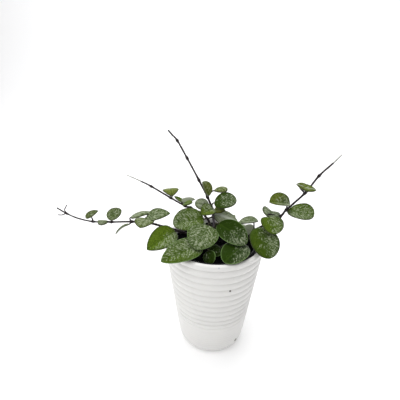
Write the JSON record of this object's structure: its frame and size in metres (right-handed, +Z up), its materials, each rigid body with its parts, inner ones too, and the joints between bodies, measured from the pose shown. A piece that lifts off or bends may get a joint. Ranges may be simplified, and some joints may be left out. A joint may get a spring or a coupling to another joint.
{
  "type": "potted trailing hoya",
  "caption": "Trailing hoya with thick silver-speckled leaves, in a black nursery pot of soil inside a tapered white cover pot with fine horizontal ribs.",
  "frame": {"origin": "centre of the cover pot's underside, where it rests", "axes": "+Z up along the pots' axis, -Y towards the front of the plant, +X to the plant's right as seen from the front"},
  "size_m": [0.2844, 0.1093, 0.2196],
  "materials": {
    "white_glazed_ceramic": "satin",
    "black_moulded_plastic": "satin",
    "dark_potting_peat": "matte",
    "green_hoya_leaf": "satin"
  },
  "bodies": {
    "root": {"cover_pot": "white_glazed_ceramic", "nursery_pot": "black_moulded_plastic", "soil": "dark_potting_peat", "stem_back_left": "green_hoya_leaf", "stem_back_right": "green_hoya_leaf", "stem_front": "green_hoya_leaf", "stem_low_left": "green_hoya_leaf", "stem_low_right": "green_hoya_leaf", "vine_diagonal": "green_hoya_leaf", "vine_left": "green_hoya_leaf", "vine_right": "green_hoya_leaf", "vine_top": "green_hoya_leaf"}
  },
  "joints": []
}
